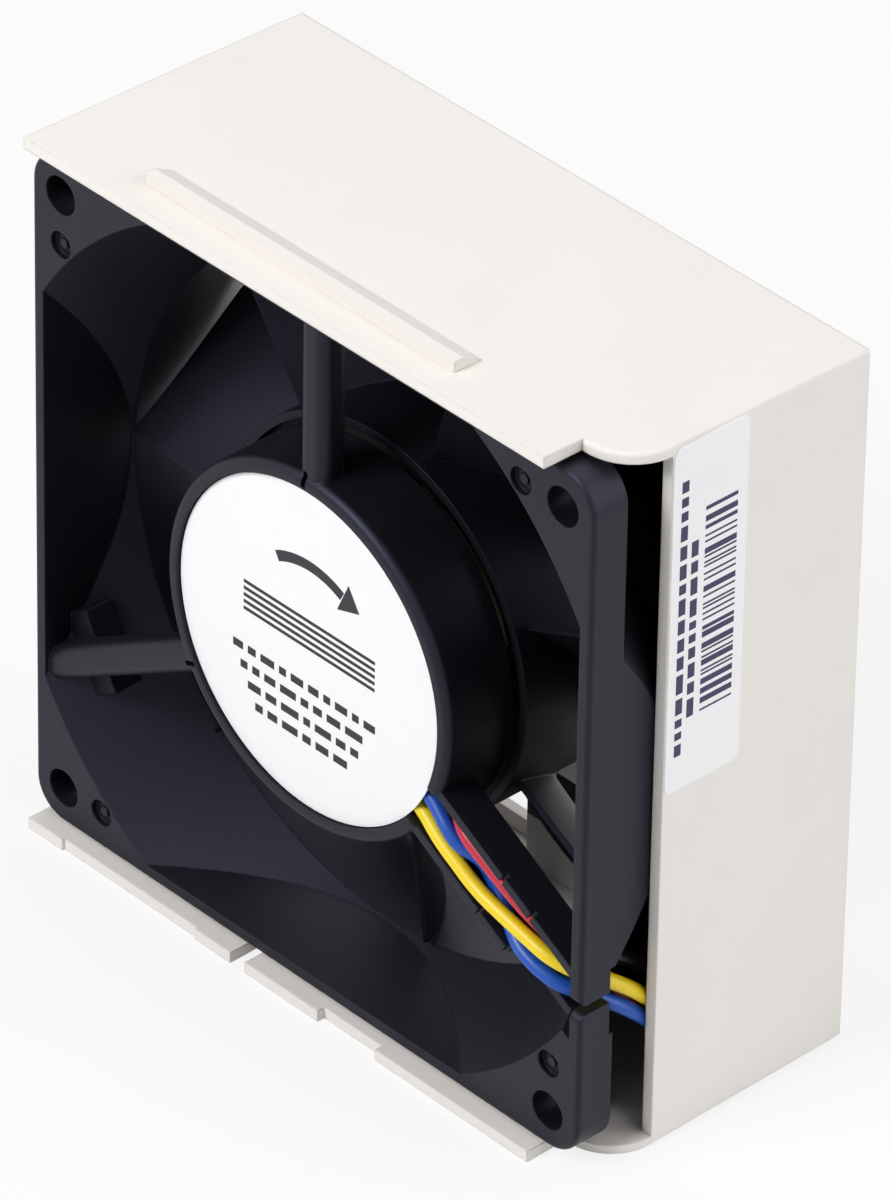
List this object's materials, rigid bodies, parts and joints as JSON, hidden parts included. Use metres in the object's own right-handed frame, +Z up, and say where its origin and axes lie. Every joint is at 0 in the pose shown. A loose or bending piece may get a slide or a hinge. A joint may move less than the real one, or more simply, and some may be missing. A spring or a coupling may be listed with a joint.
{
  "type": "chassis cooling fan",
  "caption": "Axial cooling fan, dark square frame and impeller, held in a three-sided pale moulded hot-swap carrier.",
  "frame": {"origin": "centre of the fan's front flange face, on the rotor's axis", "axes": "+X right towards the carrier's wall, +Y back along the rotor's axis, +Z up towards the carrier's top"},
  "size_m": [0.0816, 0.0366, 0.0845],
  "materials": {
    "fan_plastic": "fine moulded texture",
    "carrier_plastic": "satin moulded",
    "label_film": "printed film",
    "bearing_steel": "polished",
    "spring_steel": "bare",
    "yoke_steel": "plated",
    "core_steel": "stamped laminations",
    "magnet_ferrite": "matt bonded ferrite",
    "bush_brass": "turned",
    "coil_copper": "enamelled copper wire",
    "insulator_nylon": "moulded",
    "board_laminate": "solder mask",
    "component_epoxy": "moulded",
    "connector_plastic": "moulded",
    "contact_brass": "plated",
    "insulation_yellow": "soft vinyl",
    "insulation_blue": "soft vinyl",
    "insulation_red": "soft vinyl",
    "insulation_black": "soft vinyl"
  },
  "bodies": {
    "housing": {"fan_frame": "fan_plastic", "motor_label": "label_film", "bearing_tube": "bush_brass", "front_bearing_outer_ring": "bearing_steel", "rear_bearing_outer_ring": "bearing_steel", "stator_core": "core_steel", "stator_insulator_front": "insulator_nylon", "stator_insulator_rear": "insulator_nylon", "stator_coils": "coil_copper", "circuit_board": "board_laminate", "board_components": "component_epoxy", "carrier_shell": "carrier_plastic", "carrier_label": "label_film", "dock_connector": "connector_plastic", "dock_contacts": "contact_brass", "wire_yellow": "insulation_yellow", "wire_blue": "insulation_blue", "wire_red": "insulation_red", "wire_black": "insulation_black"},
    "rotor": {"impeller": "fan_plastic", "rotor_yoke": "yoke_steel", "rotor_magnet": "magnet_ferrite", "shaft_bush": "bush_brass", "shaft": "bearing_steel", "retaining_ring": "spring_steel", "preload_spring": "spring_steel", "front_bearing_inner_ring": "bearing_steel", "rear_bearing_inner_ring": "bearing_steel"},
    "front_cage": {"front_bearing_balls": "bearing_steel", "front_bearing_cage": "bush_brass"},
    "rear_cage": {"rear_bearing_balls": "bearing_steel", "rear_bearing_cage": "bush_brass"}
  },
  "joints": [
    {"name": "rotor_spin", "type": "hinge", "parent": "housing", "child": "rotor", "pos_m": [0, 0, 0], "axis": [0, 1, 0], "continuous": true},
    {"name": "front_cage_spin", "type": "hinge", "parent": "housing", "child": "front_cage", "pos_m": [0, 0.005, 0], "axis": [0, 1, 0], "continuous": true},
    {"name": "rear_cage_spin", "type": "hinge", "parent": "housing", "child": "rear_cage", "pos_m": [0, 0.0165, 0], "axis": [0, 1, 0], "continuous": true}
  ],
  "couplings": [
    {"joint": "front_cage_spin", "follows": "rotor_spin", "ratio": 0.36909},
    {"joint": "rear_cage_spin", "follows": "rotor_spin", "ratio": 0.36909}
  ]
}
